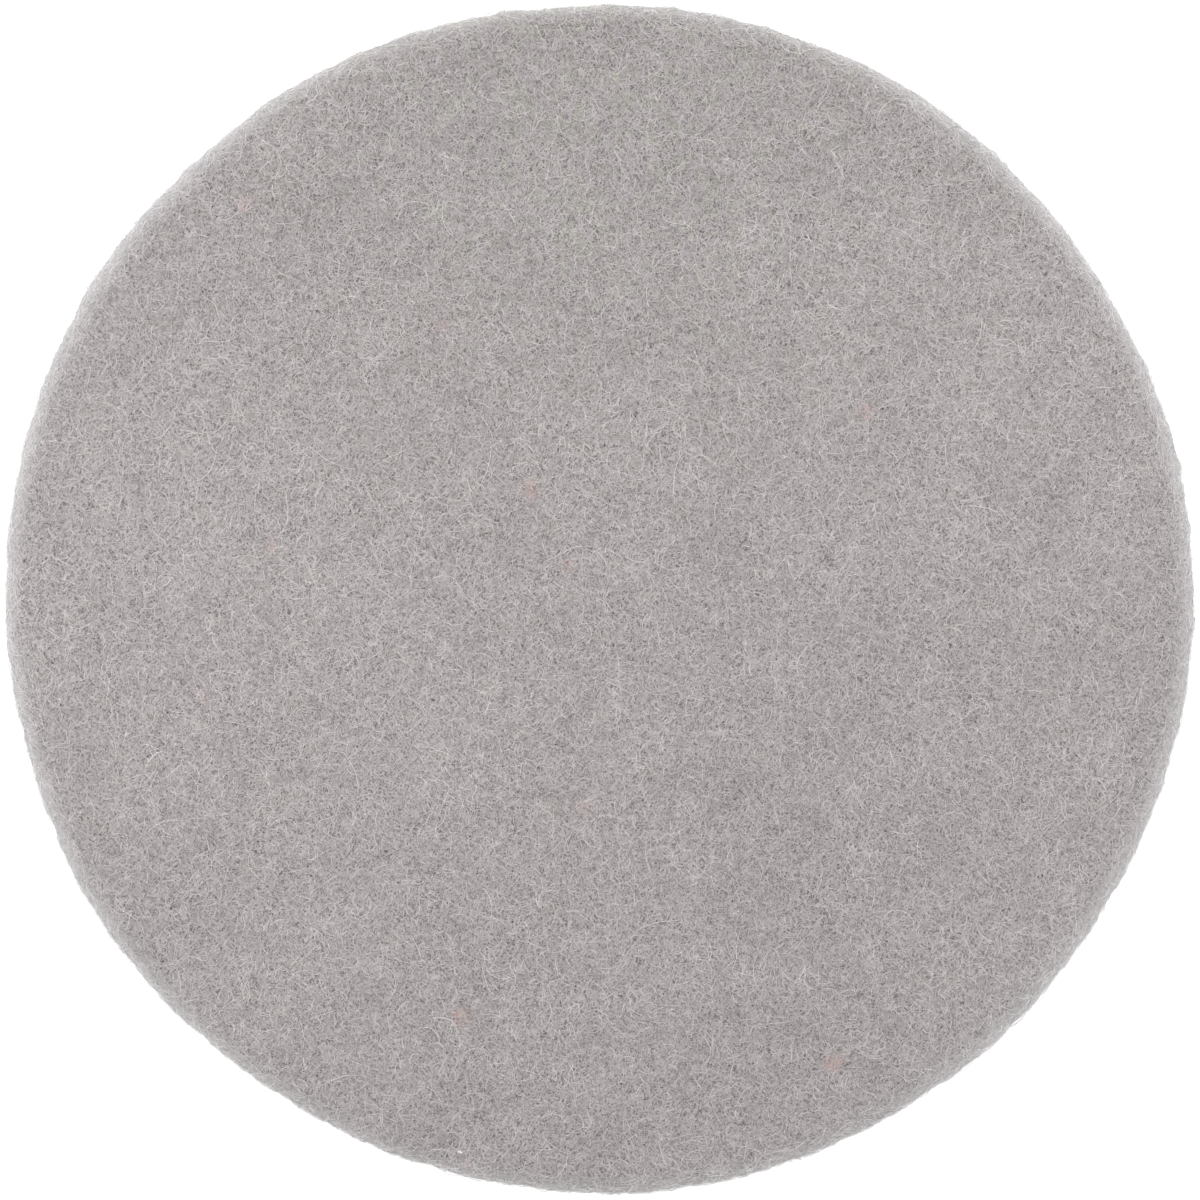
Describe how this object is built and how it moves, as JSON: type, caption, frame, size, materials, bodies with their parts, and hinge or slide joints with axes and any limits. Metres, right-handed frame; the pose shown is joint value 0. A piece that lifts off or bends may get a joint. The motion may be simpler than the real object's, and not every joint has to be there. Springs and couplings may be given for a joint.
{
  "type": "felt polishing disc",
  "caption": "Round polishing disc of matted wool felt with an unbroken soft-edged face and a loop-cloth back for a hook-faced backing plate.",
  "frame": {"origin": "centre of the disc's back, at the tips of the loops that rest on the backing plate", "axes": "+Z is the disc's axis, out of the working face; +X and +Y lie in the plane of the back"},
  "size_m": [0.15, 0.15, 0.012],
  "materials": {
    "wool_felt": "matted grey wool felt, fibrous",
    "hot_melt_glue": "translucent cream hot-melt film",
    "knitted_ground": "fine off-white warp knit",
    "brushed_loops": "off-white brushed nylon loops"
  },
  "bodies": {
    "root": {"felt_disc": "wool_felt", "glue_film": "hot_melt_glue", "loop_ground": "knitted_ground", "loop_pile": "brushed_loops"}
  },
  "joints": []
}
